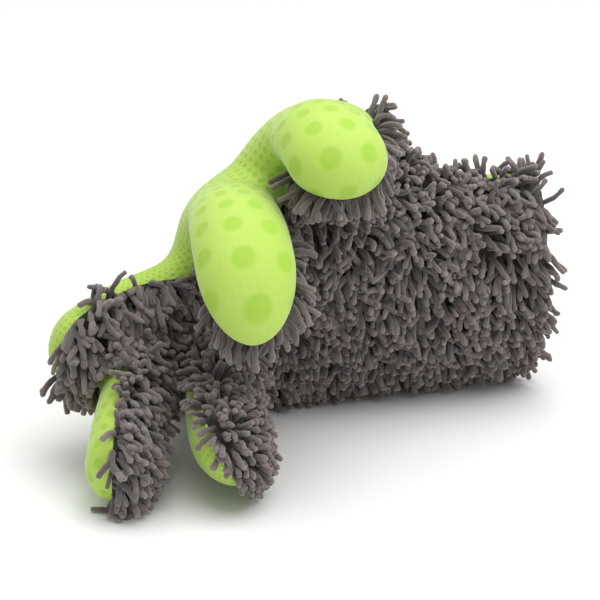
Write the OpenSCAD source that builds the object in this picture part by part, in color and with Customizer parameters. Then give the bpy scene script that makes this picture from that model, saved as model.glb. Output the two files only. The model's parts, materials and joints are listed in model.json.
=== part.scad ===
// Five-finger wash mitt: a lime air-mesh back and a grey chenille palm, sewn round a soft lining.
// X runs along the forearm, from the finger tips (-X) to the cuff mouth (+X). Z is up.
// The mitt lies on its little-finger edge with its palm towards -Y, and its fingers flop forward.

/* [Lie of the hand] */
// How far the thumb edge leans out over the palm side, in degrees
lean = 12; // [4:1:20]
// Gap between neighbouring cloth layers
layer_gap = 1.5; // [1.2:0.1:1.6]

/* [Cloth] */
// Thickness of the air mesh
mesh_thick = 3; // [2:0.5:3.5]
// Thickness of the lining
lining_thick = 1.2; // [1:0.1:1.5]
// Height of the chenille pile over the palm face
pile = 13; // [9:1:14]
// How far the pile spreads past the side seams
pile_side = 7; // [5:1:8]
// Height of the pile over the palm face of a finger
finger_pile = 8; // [6:1:10]
// How far a finger's pile spreads past its side seams
finger_side = 2; // [1:1:4]

/* [Hand] */
// Half the thickness of the hand on its back side
hand_back = 30; // [27:1:33]
// Half the thickness of the hand on its palm side
hand_palm = 32; // [28:1:34]

/* [Fingers] */
// Half the width of a finger
finger_half = 23; // [21:0.5:24]
// Half the thickness of a finger
finger_thick = 16; // [14:0.5:18]
// How much narrower a finger is at its root
neck = 0.2; // [0:0.05:0.25]
// Half the width of the thumb
thumb_half = 22; // [20:0.5:24]

/* [Cuff] */
// Width of the binding round the mouth
hem_wide = 12; // [9:1:14]
// Thickness of the binding on each side of the edge
hem_thick = 1.5; // [1:0.1:2]
// Width of the elastic inside the cuff
elastic_wide = 8; // [6:1:10]
// Length of the blank care label
label_long = 26; // [20:1:32]

/* [Hidden] */
LIME = [0.67, 0.84, 0.16];
GREY = [0.30, 0.29, 0.28];
CLOTH = [0.20, 0.20, 0.20];

// Across the hand towards the thumb edge, and out of its back
UP = [0, -sin(lean), cos(lean)];
OUT = [0, cos(lean), sin(lean)];

// The hand's outline seen from the palm, from the mouth to the knuckles: each row holds the place
// along X, the little-finger edge, the thumb edge, and the share of the full thickness there
OUTLINE = [[120, -52, 52, 1], [92, -52, 54, 1], [62, -54, 60, 1], [34, -56, 77, 1], [4, -57, 96, 1],
    [-24, -57, 68, 0.98], [-50, -56, 26, 0.9]];
// Where the thumb and index leave the thumb edge, as a share of the way along the outline,
// half the length of each mouth in the same measure, and how far round the edge it opens in degrees
MOUTHS = [[0.66, 0.12, 38], [0.88, 0.14, 40]];

// Each finger: the middle of its root, the way it starts out, the way its back faces there,
// its length, how far it curls towards the palm along it, its half width, and how far along it the
// mesh, the lining and the chenille come free of the hand
THUMB = [[-4, -34, 152], [0.1, -0.9, 0.35], [0, 0.35, 0.9], 54, 70, thumb_half, [10, 26, 26]];
INDEX = [[-44, -36, 116], [-0.1, -0.9, 0.3], [0, 0.3, 0.9], 84, 85, finger_half, [10, 30, 30]];
MIDDLE = [[-58, -12, 70], [-0.95, -0.25, -0.12], [-0.2, 0.85, 0.45], 84, 24, finger_half, [0, 0, 0]];
RING = [[-92, -44, 43], [-0.42, -0.8, -0.33], [-0.9, 0.4, 0.1], 76, 12, finger_half - 3, [20, 20, 14]];
LITTLE = [[-56, -56, 36], [-0.17, -0.95, -0.22], [-0.8, 0.1, -0.5], 70, 8, finger_half - 2, [2, 2, 2]];

// Moves the origin from the forearm's line to the middle of the floor that the mitt covers
PLACE = [7.34, 47.55, 0.11];

// Rings along the hand, along a finger and over its tip, and points round half a ring
HAND_RINGS = 16;
FINGER_RINGS = 8;
TIP_ANGLES = [20, 40, 58, 72, 84];
HALF = 12;
// The seams lie on these angles round a ring, a little apart
SEAM = 2;
// How long a finger's round tip is, as a share of its half width
TIP_SHARE = 0.8;
ELASTIC_THICK = 1.2;
LABEL_THICK = 0.6;
LABEL_WIDE = 14;
LABEL_GAP = 3;
// The panels stop this far short of the binding, and the lining runs into its fold to this far short
// of the edge. Both places are then a share of the way along the outline.
END_GAP = 3;
OUTLINE_SPAN = OUTLINE[0][0] - OUTLINE[6][0];
CUFF_SHARE = (hem_wide + END_GAP) / OUTLINE_SPAN;
LINING_SHARE = END_GAP / OUTLINE_SPAN;
// The outline's lowest point, where the hand is widest
LOW_EDGE = OUTLINE[4][1];
lining_under = mesh_thick + layer_gap;

function unit(v) = v / norm(v);
// A smooth curve through rows of numbers, at a place from 0 to the last row
function blend_rows(p, q, r, s, f) =
    0.5 * (2 * q + (r - p) * f + (2 * p - 5 * q + 4 * r - s) * f * f + (3 * q - p - 3 * r + s) * f * f * f);
function row_at(rows, u) = let(last = len(rows) - 1, k = min(floor(u), last - 1), f = u - k)
    blend_rows(rows[max(k - 1, 0)], rows[k], rows[k + 1], rows[min(k + 2, last)], f);

// One ring of points: a centre, two axes, two half sizes on each side, and the angles it spans
function ring(c, s, n, wide, back, palm, from, to, steps) = [for (j = [0:steps])
    let(f = from + (to - from) * j / steps) c + s * wide * cos(f) + n * (sin(f) > 0 ? back : palm) * sin(f)];

// How far the edge is opened at a place along the outline, for the thumb and the index
function bump(d) = d >= 1 ? 0 : pow(1 - d * d, 2);
function opened(w) = SEAM + max([for (m = MOUTHS) m[2] * bump(abs(w - m[0]) / m[1])]);

// The height at which the lowest point of the pile just touches the surface
rest_height = sqrt(pow((pile_side - LOW_EDGE) * cos(lean), 2) + pow((hand_palm + pile) * sin(lean), 2));

// A ring round the hand, grown by some amounts to the sides, on the back and on the palm
function hand_ring(w, side, back, palm, from, to, steps) =
    let(row = row_at(OUTLINE, w * (len(OUTLINE) - 1)), wide = (row[2] - row[1]) / 2)
    ring([row[0], 0, rest_height] + UP * (row[1] + row[2]) / 2, UP, OUT, wide + side,
        hand_back * row[3] + back, hand_palm * row[3] + palm, from, to, steps);

// The way a finger starts out, the way its back faces there, and the axis across its knuckle
function aim(f) = unit(f[1]);
function back_of(f) = unit(f[2] - aim(f) * (f[2] * aim(f)));
function across(f) = cross(aim(f), back_of(f));

// Rings round a finger, grown like the hand's, with a round tip
function finger_rings(f, start, side, back, palm, from, to, steps) =
    let(t0 = aim(f), n0 = back_of(f), reach = f[3] + (side + back + palm) / 3,
        round_off = TIP_SHARE * (f[5] + side), bend = f[4] / f[3], turn = 180 / PI / bend,
        places = concat([for (i = [0:FINGER_RINGS]) let(h = i / FINGER_RINGS)
                [start + (reach - round_off - start) * h, 1 - neck * pow(max(0, 1 - 2 * h), 2)]],
            [for (g = TIP_ANGLES) [reach - round_off + round_off * sin(g), cos(g)]]))
    [for (p = places) let(g = p[0] * bend, n = n0 * cos(g) + t0 * sin(g),
        c = f[0] + t0 * sin(g) * turn - n0 * (1 - cos(g)) * turn)
        ring(c, across(f), n, (f[5] + side) * p[1], (finger_thick + back) * p[1],
            (finger_thick + palm) * p[1], from, to, steps)];

// Joins two grids of rings, one inside the other, into a closed cloth wall. A tip closes the far
// end, and a round wall has its rings joined end to end.
module wall(outer, inner, tip = false, round = false) {
    rows = len(outer);
    wide = len(outer[0]);
    count = rows * wide;
    points = concat([for (r = outer) each r], [for (r = inner) each r]);
    function at(i, j) = i * wide + (j % wide);
    function quad(a, b, c, d) = [[a, b, c], [a, c, d]];
    last = round ? wide - 1 : wide - 2;
    e = rows - 1;
    l = wide - 1;
    skin = [for (i = [0:rows - 2]) for (j = [0:last])
        each quad(at(i, j), at(i, j + 1), at(i + 1, j + 1), at(i + 1, j))];
    inside = [for (t = skin) [t[0] + count, t[2] + count, t[1] + count]];
    near = [for (j = [0:last]) each quad(at(0, j + 1), at(0, j), at(0, j) + count, at(0, j + 1) + count)];
    far = [for (j = [0:last]) each quad(at(e, j), at(e, j + 1), at(e, j + 1) + count, at(e, j) + count)];
    fan = [for (j = [1:wide - 2]) [at(e, 0), at(e, j), at(e, j + 1)]];
    back_fan = [for (t = fan) [t[0] + count, t[2] + count, t[1] + count]];
    edges = [for (i = [0:rows - 2])
        each concat(quad(at(i, 0), at(i + 1, 0), at(i + 1, 0) + count, at(i, 0) + count),
            quad(at(i + 1, l), at(i, l), at(i, l) + count, at(i + 1, l) + count))];
    seal = quad(at(e, 0), at(e, l), at(e, l) + count, at(e, 0) + count);
    translate(PLACE) polyhedron(points, concat(skin, inside, near, tip ? concat(fan, back_fan) : far,
        round ? [] : edges, tip && !round ? seal : []));
}

// A wall over the back or the palm half of the hand: its growth outside and inside, as
// [side, back, palm]
module hand_wall(outside, inside, back_half) {
    function grid(g) = [for (i = [0:HAND_RINGS])
        let(w = 1 - (1 - CUFF_SHARE) * i / HAND_RINGS, o = opened(w))
        hand_ring(w, g[0], g[1], g[2], back_half ? o : 180 + SEAM, back_half ? 180 - SEAM : 360 - o, HALF)];
    wall(grid(outside), grid(inside));
}

// The cloth of one finger, between two growths, over the back half, the palm half or all round
module finger_wall(f, start, outside, inside, from, to, steps) {
    wall(finger_rings(f, start, outside[0], outside[1], outside[2], from, to, steps),
        finger_rings(f, start, inside[0], inside[1], inside[2], from, to, steps),
        tip = true, round = steps > HALF);
}
module finger_mesh(f) {
    skin = -[1, 1, 1] * mesh_thick;
    finger_wall(f, f[6][0], [0, 0, 0], skin, SEAM, 180 - SEAM, HALF);
}
module finger_chenille(f) {
    skin = -[1, 1, 1] * mesh_thick;
    finger_wall(f, f[6][2], [finger_side, 0, finger_pile], skin, 180 + SEAM, 360 - SEAM, HALF);
}
module finger_lining(f) {
    skin = -[1, 1, 1] * (mesh_thick + layer_gap);
    finger_wall(f, f[6][1], skin, skin - [1, 1, 1] * lining_thick, 0, 360 - 180 / HALF, 2 * HALF - 1);
}

// A band round the mouth of the cuff, whose section is a list of [place along X, growth]
module mouth_band(section) {
    steps = 4 * HALF;
    span = len(section);
    function spot(j, k) = let(g = section[k][1], p = hand_ring(0, g, g, g, 0, 360, steps)[j])
        [section[k][0], p[1], p[2]];
    translate(PLACE) polyhedron([for (j = [0:steps - 1]) for (k = [0:span - 1]) spot(j, k)],
        [for (j = [0:steps - 1]) for (k = [0:span - 1]) let(m = (j + 1) % steps, q = (k + 1) % span)
            each [[j * span + k, j * span + q, m * span + q], [j * span + k, m * span + q, m * span + k]]]);
}

// The air-mesh panel over the back of the hand
module back_mesh() {
    color(LIME) hand_wall([0, 0, 0], -[1, 1, 1] * mesh_thick, true);
}

// The chenille panel over the palm
module palm_chenille() {
    color(GREY) hand_wall([pile_side, 0, pile], -[1, 1, 1] * mesh_thick, false);
}

// The lining, from the mouth to the knuckles, open along the thumb edge where the fingers leave
module hand_lining() {
    skin = -[1, 1, 1] * (mesh_thick + layer_gap);
    function grid(g) = [for (i = [0:HAND_RINGS]) let(w = 1 - (1 - LINING_SHARE) * i / HAND_RINGS)
        hand_ring(w, g[0], g[1], g[2], opened(w), 360 - opened(w), 2 * HALF)];
    color(CLOTH) wall(grid(skin), grid(skin - [1, 1, 1] * lining_thick));
}

// The binding, folded over the edge of the mouth
module cuff_binding() {
    edge = OUTLINE[0][0];
    deep = lining_under + lining_thick + layer_gap;
    color(CLOTH) mouth_band([[edge - hem_wide, hem_thick], [edge - hem_wide, layer_gap / 2],
        [edge - hem_thick, layer_gap / 2], [edge - hem_thick, -deep], [edge - hem_wide, -deep],
        [edge - hem_wide, -deep - hem_thick], [edge, -deep - hem_thick], [edge, hem_thick]]);
}

// The elastic, inside the fold of the binding
module cuff_elastic() {
    start = OUTLINE[0][0] - hem_wide + (hem_wide - elastic_wide) / 2;
    color([0.9, 0.9, 0.88]) mouth_band([[start, -layer_gap], [start, -layer_gap - ELASTIC_THICK],
        [start + elastic_wide, -layer_gap - ELASTIC_THICK], [start + elastic_wide, -layer_gap]]);
}

// The blank care label, flat against the lining inside the cuff
module care_label() {
    inner = hand_back - lining_under - lining_thick - layer_gap - LABEL_THICK;
    color([0.95, 0.95, 0.93])
        translate(PLACE + [OUTLINE[0][0] - hem_wide - label_long - LABEL_GAP, 0, rest_height] + OUT * inner)
            rotate([lean, 0, 0]) translate([0, -LABEL_THICK / 2, -LABEL_WIDE / 2])
                cube([label_long, LABEL_THICK, LABEL_WIDE]);
}

module thumb_mesh() color(LIME) finger_mesh(THUMB);
module thumb_chenille() color(GREY) finger_chenille(THUMB);
module thumb_lining() color(CLOTH) finger_lining(THUMB);
module index_mesh() color(LIME) finger_mesh(INDEX);
module index_chenille() color(GREY) finger_chenille(INDEX);
module index_lining() color(CLOTH) finger_lining(INDEX);
module middle_mesh() color(LIME) finger_mesh(MIDDLE);
module middle_chenille() color(GREY) finger_chenille(MIDDLE);
module middle_lining() color(CLOTH) finger_lining(MIDDLE);
module ring_mesh() color(LIME) finger_mesh(RING);
module ring_chenille() color(GREY) finger_chenille(RING);
module ring_lining() color(CLOTH) finger_lining(RING);
module little_mesh() color(LIME) finger_mesh(LITTLE);
module little_chenille() color(GREY) finger_chenille(LITTLE);
module little_lining() color(CLOTH) finger_lining(LITTLE);

back_mesh();
palm_chenille();
hand_lining();
cuff_binding();
cuff_elastic();
care_label();
thumb_mesh();
thumb_chenille();
thumb_lining();
index_mesh();
index_chenille();
index_lining();
middle_mesh();
middle_chenille();
middle_lining();
ring_mesh();
ring_chenille();
ring_lining();
little_mesh();
little_chenille();
little_lining();
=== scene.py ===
# %% [markdown]
# # A five-finger wash mitt
# The real mitt is two flat pieces of cloth cut to the outline of a hand, a lime air mesh for the
# back and a grey microfibre chenille for the palm, sewn together round the edge over a soft
# lining. Worn or stuffed it swells into a plump hand. Here it lies on its little-finger edge with
# the thumb and index finger flopped forward over the palm.
#
# The CAD frame gives the joints, the bodies and the space each part may fill. This script grows
# the cloth around them, in metres.

# %% Load the frame
import json
import math
from functools import partial

import bpy
import numpy as np
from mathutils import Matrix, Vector


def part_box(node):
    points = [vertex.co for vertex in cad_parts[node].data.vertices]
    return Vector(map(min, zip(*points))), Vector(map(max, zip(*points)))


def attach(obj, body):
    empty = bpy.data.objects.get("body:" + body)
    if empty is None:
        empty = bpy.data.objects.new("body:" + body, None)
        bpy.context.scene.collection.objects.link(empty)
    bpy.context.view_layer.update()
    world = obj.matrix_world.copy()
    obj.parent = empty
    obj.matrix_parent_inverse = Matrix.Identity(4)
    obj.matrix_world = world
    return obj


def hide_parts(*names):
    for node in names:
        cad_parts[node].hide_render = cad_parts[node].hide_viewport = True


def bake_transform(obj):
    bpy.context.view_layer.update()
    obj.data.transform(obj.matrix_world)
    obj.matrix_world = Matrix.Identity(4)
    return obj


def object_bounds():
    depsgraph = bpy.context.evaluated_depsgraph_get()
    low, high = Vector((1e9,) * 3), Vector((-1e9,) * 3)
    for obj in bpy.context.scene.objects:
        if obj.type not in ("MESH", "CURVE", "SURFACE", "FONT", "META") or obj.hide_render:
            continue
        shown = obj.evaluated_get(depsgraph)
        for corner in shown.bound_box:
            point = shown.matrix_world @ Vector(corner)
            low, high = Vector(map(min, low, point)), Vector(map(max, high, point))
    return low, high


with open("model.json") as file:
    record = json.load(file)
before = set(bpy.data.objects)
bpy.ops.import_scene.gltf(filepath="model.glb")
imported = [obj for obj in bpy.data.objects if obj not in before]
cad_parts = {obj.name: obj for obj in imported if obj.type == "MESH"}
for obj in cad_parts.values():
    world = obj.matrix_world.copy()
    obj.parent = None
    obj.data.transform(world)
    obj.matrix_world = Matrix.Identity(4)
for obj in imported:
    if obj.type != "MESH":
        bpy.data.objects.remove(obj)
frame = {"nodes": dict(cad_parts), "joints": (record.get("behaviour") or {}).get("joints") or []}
CAD_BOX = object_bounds()
JOINTS = {joint["child"]: joint for joint in frame["joints"]}
FINGERS = ("thumb", "index", "middle", "ring", "little")
print("frame:", len(frame["nodes"]), "nodes,", len(JOINTS), "hinges")

# %% [markdown]
# ## The form inside the cloth
# Every cloth surface here follows one form, so it comes first. It could be a mesh sculpted by
# hand, but then each layer would need its own sculpting. Instead the form is a distance: a
# function that tells for any point how far it lies outside the hand. The hand is an oval tube
# whose edges follow an outline, each finger is an oval tube along an arc that starts at its
# hinge, and the tubes are melted together with a soft minimum, which rounds the webs between
# them the way stretched cloth does.

# %% The lie of the hand
LEAN = math.radians(12)
UP = np.array([0, -math.sin(LEAN), math.cos(LEAN)])  # across the palm, to the thumb edge
OUT = np.array([0, math.cos(LEAN), math.sin(LEAN)])  # out of the back of the hand
FOREARM = np.array([0.00734, 0.04755, 0.0634])  # a point on the forearm's line
HAND_BACK, HAND_PALM = 0.030, 0.032  # half thickness, to the back and the palm
MOUTH_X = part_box("cuff_binding")[1][0]  # the open end of the cuff

# Outline of the hand seen from the palm: place along X from the forearm's origin, the
# little-finger edge, the thumb edge, and the share of the full thickness
OUTLINE = np.array([
    [0.180, -0.052, 0.052, 1], [0.150, -0.052, 0.052, 1], [0.120, -0.052, 0.052, 1],
    [0.092, -0.052, 0.054, 1], [0.062, -0.054, 0.060, 1], [0.034, -0.056, 0.077, 1],
    [0.004, -0.057, 0.095, 1], [-0.024, -0.057, 0.068, 0.98], [-0.050, -0.056, 0.026, 0.9],
])
KNUCKLE_DOME = 0.020  # how far the knuckles round off
print("mouth of the cuff at x =", round(MOUTH_X, 4))


# %% The fingers' arcs
# The way it starts, the way its back faces, length, curl in degrees, half width, half thickness,
# and how long its rounded end is as a share of its half width
FINGER_FORM = {
    "thumb": ((0.1, -0.9, 0.35), (0, 0.35, 0.9), 0.054, 70, 0.0215, 0.0155, 0.9),
    "index": ((-0.1, -0.9, 0.3), (0, 0.3, 0.9), 0.084, 85, 0.0205, 0.0155, 1.6),
    "middle": ((-0.95, -0.25, -0.12), (-0.12, 0.9, 0.40), 0.084, 24, 0.023, 0.016, 0.8),
    "ring": ((-0.42, -0.8, -0.33), (-0.9, 0.4, 0.1), 0.076, 12, 0.020, 0.0145, 0.8),
    "little": ((-0.17, -0.95, -0.22), (-0.8, 0.1, -0.5), 0.066, 8, 0.021, 0.016, 1.1),
}
NECK = 0.2  # how much narrower a finger is at its root
ROOT_REACH = 0.022  # how far a finger's tube runs back into the hand


def unit(v):
    """Vectors along the last axis, made one unit long."""
    v = np.asarray(v, float)
    return v / np.maximum(np.linalg.norm(v, axis=-1, keepdims=True), 1e-12)


def finger_frame(name):
    """A finger's hinge point, first direction, back direction, sideways direction, length and
    bend radius."""
    aim, back, length, curl = FINGER_FORM[name][:4]
    aim = unit(aim)
    back = unit(np.array(back) - aim * np.dot(back, aim))
    root = np.array(JOINTS[name]["pos_m"])
    radius = length / math.radians(curl)
    return root, aim, back, np.cross(aim, back), length, radius


def finger_place(points, name):
    """Where points lie in a finger's own measure: along its arc, out of its back, and across."""
    root, aim, back, side, length, radius = finger_frame(name)
    q = points - (root - back * radius)
    forward, outward = q @ aim, q @ back
    along = np.arctan2(forward, outward) * radius
    return along, np.hypot(forward, outward) - radius, q @ side


def finger_point(name, along, lift=0.0, across=0.0):
    """The point at a distance along a finger's arc, lifted out of its back and moved across."""
    root, aim, back, side, length, radius = finger_frame(name)
    turn = np.asarray(along)[..., None] / radius
    out = back * np.cos(turn) + aim * np.sin(turn)
    return root - back * radius + out * (radius + np.asarray(lift)[..., None]) \
        + side * np.asarray(across)[..., None]


# %% Distances to each tube
def oval(u, v, e, wide, thick):
    """Rough distance outside an oval of half sizes wide and thick, with e as the share of the way
    into a rounded end: the length of (u, v) less its length at the oval's edge."""
    reach = np.sqrt((u / wide) ** 2 + (v / thick) ** 2 + e ** 2)
    size = np.sqrt(u ** 2 + v ** 2 + (e * thick) ** 2)
    return size * (1 - 1 / np.maximum(reach, 1e-6)), v / thick / np.maximum(reach, 1e-6)


def outline_at(x):
    """The outline's edges and thickness at places along X, by a smooth curve through its rows."""
    rows = OUTLINE[::-1]
    place = np.interp(x, rows[:, 0], np.arange(len(rows)))
    k = np.clip(place.astype(int), 0, len(rows) - 2)
    f = (place - k)[:, None]
    p, q, r, s = (rows[np.clip(k + j, 0, len(rows) - 1)] for j in (-1, 0, 1, 2))
    return 0.5 * (2 * q + (r - p) * f + (2 * p - 5 * q + 4 * r - s) * f ** 2
                  + (3 * q - p - 3 * r + s) * f ** 3)


def hand_part(points):
    """Distance outside the hand's oval tube, and how far round to its back, from -1 to 1."""
    local = points - FOREARM
    x, up, out = local[:, 0], local @ UP, local @ OUT
    row = outline_at(x)
    middle, wide = (row[:, 1] + row[:, 2]) / 2, (row[:, 2] - row[:, 1]) / 2
    thick = np.where(out > 0, HAND_BACK, HAND_PALM) * row[:, 3]
    past = np.maximum(OUTLINE[-1, 0] - x, 0) / KNUCKLE_DOME
    return oval(up - middle, out, past, wide, thick)


def finger_part(points, name):
    """Distance outside a finger's oval tube, and how far round to its back, from -1 to 1. The
    tube is narrower at its root, and an oval dome rounds off each end."""
    length, _, half, thick, tip = FINGER_FORM[name][2:]
    along, lift, across = finger_place(points, name)
    neck = 1 - NECK * np.clip(1 - 2 * along / length, 0, 1) ** 2
    dome = tip * half
    past = np.maximum(along - length + dome, 0) / dome + np.maximum(-ROOT_REACH - along, 0) / thick
    return oval(across, lift, past, half * neck, thick * neck)


# %% [markdown]
# The index finger and thumb fold over the edge of the hand, and the back cloth bridges that fold
# as one broad ridge. A short round bar along the fold fills it, from the thumb to the middle
# finger.

# %% The ridge where the fingers fold over
RIDGE_START = FOREARM + [0.016, -0.022, 0.080]
RIDGE_END = FOREARM + [-0.058, -0.010, 0.011]
RIDGE_RADIUS = (0.018, 0.0195, 0.0195, 0.014)
RIDGE_BOW = np.array([-0.0052, 0.0044, 0.0064])  # how far its middle bows outwards
RIDGE_OUT = unit([-0.8, -0.1, 0.6])
RIDGE_SEAM = 0.15  # moves the seam on the ridge off its crest
RIDGE_SAY = 2.0  # how strongly the ridge steers the seam near it


def ridge_part(points):
    """Distance outside a round bar that bows out as a parabola and whose radius changes evenly,
    and how far round to its outer side."""
    line = RIDGE_END - RIDGE_START
    share = np.clip((points - RIDGE_START) @ line / (line @ line), 0, 1)
    centre = RIDGE_START + share[:, None] * line + (4 * share * (1 - share))[:, None] * RIDGE_BOW
    offset = points - centre
    size = np.linalg.norm(offset, axis=1)
    radius = np.interp(share, np.linspace(0, 1, len(RIDGE_RADIUS)), RIDGE_RADIUS)
    return size - radius, offset @ RIDGE_OUT / np.maximum(size, 1e-6) + RIDGE_SEAM


# Places where the sewn edge runs off its usual line: the place, how far the pull reaches, and
# how far it turns the side towards the back cloth
SEAM_PULLS = (
    ((-0.0660, -0.0180, 0.1080), 0.018, 1.2),  # the index finger's far edge near its root
    ((-0.0170, -0.0090, 0.1550), 0.011, 0.9),  # the thumb's root, beside the ridge
)
MELT = 0.005  # how softly the tubes melt together
# The same for the ridge with the thumb and the index finger. Those two fingers are also melted in
# on their own, so they come out a little plumper and the ridge steers the seam along them too.
RIDGE_MELT = 0.008
SEAM_REACH = 0.006  # how near a tube must be to steer the seam


def melt_two(one, two, melt=RIDGE_MELT):
    """A soft minimum of two distances: -melt ln(exp(-one / melt) + exp(-two / melt))."""
    return np.minimum(one, two) - melt * np.log1p(np.exp(-np.abs(one - two) / melt))


def form(points, melt=MELT):
    """Distance outside the whole form, and the side: above zero on the back cloth, below on the
    palm."""
    parts = [hand_part(points), ridge_part(points)]
    parts += [finger_part(points, name) for name in FINGERS]
    distance = np.array([part[0] for part in parts])
    side = np.array([part[1] for part in parts])
    ridge, thumb, index = distance[1:4]
    distance[1] = np.minimum(melt_two(ridge, thumb), melt_two(ridge, index))
    nearest = distance.min(axis=0)
    melted = nearest - melt * np.log(np.exp(-(distance - nearest) / melt).sum(axis=0))
    is_ridge = np.arange(len(parts)) == 1
    reach = np.where(is_ridge, RIDGE_SAY, 1)[:, None] * SEAM_REACH
    weight = np.exp(-(distance - nearest) / reach)
    side = (side * weight).sum(axis=0) / weight.sum(axis=0)
    for place, width, amount in SEAM_PULLS:
        side += amount * np.exp(-((points - place) ** 2).sum(axis=1) / width ** 2)
    return melted, side


def slope(points, step=0.0004):
    """The direction in which the distance grows, from differences along each axis."""
    grown = [form(points + step * axis)[0] - form(points - step * axis)[0] for axis in np.eye(3)]
    return unit(np.stack(grown, axis=1))


def settle(points, height=0.0, rounds=4):
    """Points moved along the slope until they lie at a height over the form."""
    for _ in range(rounds):
        points = points + slope(points) * (height - form(points)[0])[:, None]
    return points


print("distance at the forearm's middle:", form(FOREARM[None])[0].round(4))

# %% [markdown]
# ## From a distance to a mesh
# A mesh of the form could come from metaballs or from joined tubes and a voxel remesh. A surface
# net gives the same even quads straight from the distance: wherever the form's skin crosses a
# cell of a grid, that cell gets one vertex, and each crossed grid edge gets one quad.

# %% Surface net
GRID = 0.0034
CAP_X = MOUTH_X - 0.0005


def capped(points):
    """Distance to the form, cut off square at the mouth of the cuff."""
    return np.maximum(form(points)[0], points[:, 0] - CAP_X)


def surface_net(low, high, step, distance):
    """Quads over the zero surface of a distance: one vertex per crossed cell, at the mean of the
    crossings on its edges, and one quad round each crossed grid edge."""
    axes = [np.arange(a, b + step, step) for a, b in zip(low, high)]
    grid = np.stack(np.meshgrid(*axes, indexing="ij"), axis=-1)
    shape = np.array(grid.shape[:3])
    value = distance(grid.reshape(-1, 3)).reshape(shape)
    total, count = np.zeros((*(shape - 1), 3)), np.zeros(shape - 1)
    crossings = []
    for axis in range(3):
        near = [slice(None)] * 3
        far = [slice(None)] * 3
        near[axis], far[axis] = slice(0, -1), slice(1, None)
        a, b = value[tuple(near)], value[tuple(far)]
        crossed = (a < 0) != (b < 0)
        place = grid[tuple(near)].copy()
        place[..., axis] += step * np.where(crossed, a / np.where(crossed, a - b, 1), 0)
        for du in (0, 1):
            for dv in (0, 1):
                part = [slice(None)] * 3
                part[(axis + 1) % 3] = slice(du, shape[(axis + 1) % 3] - 1 + du)
                part[(axis + 2) % 3] = slice(dv, shape[(axis + 2) % 3] - 1 + dv)
                total += place[tuple(part)] * crossed[tuple(part)][..., None]
                count += crossed[tuple(part)]
        crossings.append((crossed, a < 0))
    number = np.full(shape - 1, -1)
    number[count > 0] = np.arange((count > 0).sum())
    quads = []
    for axis, (crossed, outward) in enumerate(crossings):
        cell = np.argwhere(crossed)
        u, v = np.eye(3, dtype=int)[(axis + 1) % 3], np.eye(3, dtype=int)[(axis + 2) % 3]
        ring = [number[tuple((cell - back).T)] for back in (u + v, v, 0 * u, u)]
        quad = np.stack(ring, axis=1)
        turn = ~outward[tuple(cell.T)]
        quad[turn] = quad[turn][:, ::-1]
        quads.append(quad)
    return total[count > 0] / count[count > 0][:, None], np.concatenate(quads)


def edge_means(points, faces, rounds):
    """Each point moved halfway to the mean of its neighbours along face edges, several times."""
    a = faces.ravel()
    b = np.roll(faces, -1, axis=1).ravel()
    for _ in range(rounds):
        total = np.zeros_like(points)
        np.add.at(total, a, points[b])
        np.add.at(total, b, points[a])
        count = np.bincount(a, minlength=len(points)) + np.bincount(b, minlength=len(points))
        points = points + 0.5 * (total / count[:, None] - points)
    return points


NET_LOW = np.array(CAD_BOX[0]) - 0.02
NET_HIGH = np.array(CAD_BOX[1]) + 0.02
net_points, net_quads = surface_net(NET_LOW, NET_HIGH, GRID, capped)
on_cap = net_points[:, 0] > CAP_X - 0.001
for _ in range(2):
    eased = edge_means(net_points, net_quads, 2)
    eased = np.where(on_cap[:, None], net_points, settle(eased))
    net_points = eased
print("surface net:", len(net_points), "points,", len(net_quads), "quads")


# %% Meshes from arrays
def make_mesh(name, points, faces, smooth=True):
    """A mesh object from an array of points and an array or list of faces."""
    mesh = bpy.data.meshes.new(name)
    faces = faces.tolist() if isinstance(faces, np.ndarray) else faces
    mesh.from_pydata(points.tolist(), [], faces)
    mesh.polygons.foreach_set("use_smooth", np.full(len(mesh.polygons), smooth))
    mesh.update()
    piece = bpy.data.objects.new(name, mesh)
    bpy.context.scene.collection.objects.link(piece)
    return piece


def points_of(piece):
    """A piece's points as an array."""
    flat = np.empty(len(piece.data.vertices) * 3)
    piece.data.vertices.foreach_get("co", flat)
    return flat.reshape(-1, 3)


def faces_of(piece, corners):
    """A piece's faces as an array, when all have the same number of corners."""
    flat = np.empty(len(piece.data.polygons) * corners, dtype=int)
    piece.data.polygons.foreach_get("vertices", flat)
    return flat.reshape(-1, corners)


# %% [markdown]
# ## Filling the mitt
# The sewn cloth is held out by what is inside it, and it pulls tight over the middle of each
# finger and puckers where fingers meet. Cloth under pressure does exactly that, so a slightly
# thin copy of the form is blown up a little. The cuff is pinned, because the binding holds it.

# %% Blow up the cloth
START_THIN = 0.0012  # how much thinner the cloth starts
FRAMES = 20  # how long the pressure lasts
MOVE_CAP = 0.0010  # the furthest that a point may move
PRESSURE = 1.5
PIN_BACK = 0.020  # this much of the cuff is pinned


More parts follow.
